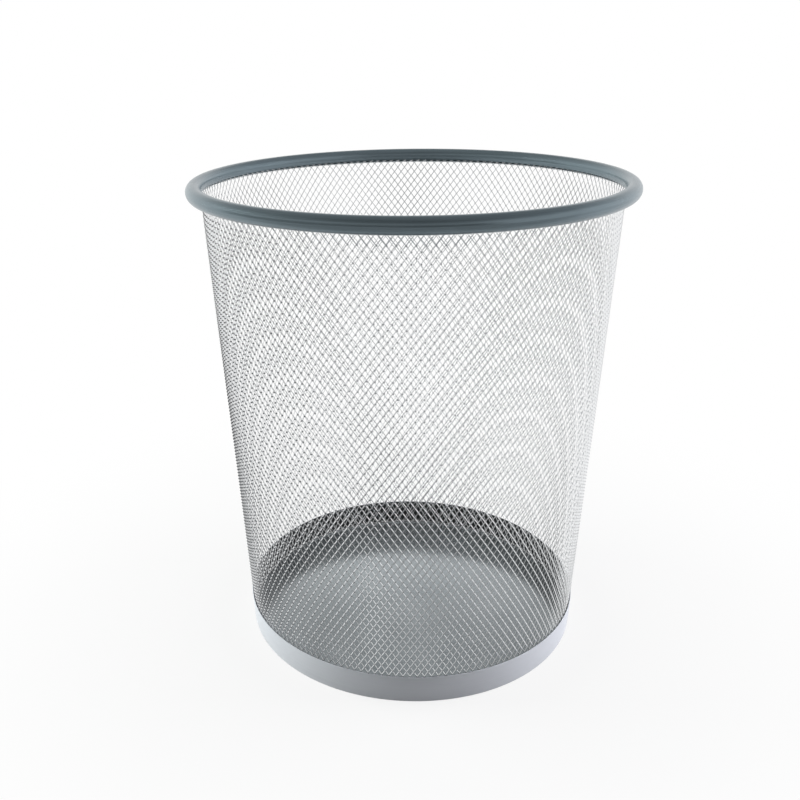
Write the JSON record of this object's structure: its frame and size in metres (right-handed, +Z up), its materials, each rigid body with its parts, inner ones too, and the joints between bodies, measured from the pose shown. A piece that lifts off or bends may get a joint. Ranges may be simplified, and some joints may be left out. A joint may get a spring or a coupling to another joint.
{
  "type": "mesh wastebasket",
  "caption": "Round tapered open-topped waste basket with a diamond steel mesh wall, a slit-tube rim, a sheet-steel base band and a flat floor plate.",
  "frame": {"origin": "centre of the base band's underside, on the ground", "axes": "+Z up along the basket's axis, towards its mouth; the basket is round, so +X and +Y are any two level directions"},
  "size_m": [0.3, 0.3, 0.33],
  "materials": {
    "rim_paint": "smooth satin blue-grey paint on steel tube",
    "mesh_silver": "satin silver coated steel mesh",
    "band_silver": "satin pale silver sheet steel",
    "floor_grey": "matt grey coated sheet steel"
  },
  "bodies": {
    "root": {"rim_tube": "rim_paint", "mesh_wall": "mesh_silver", "base_band": "band_silver", "floor_plate": "floor_grey"}
  },
  "joints": []
}
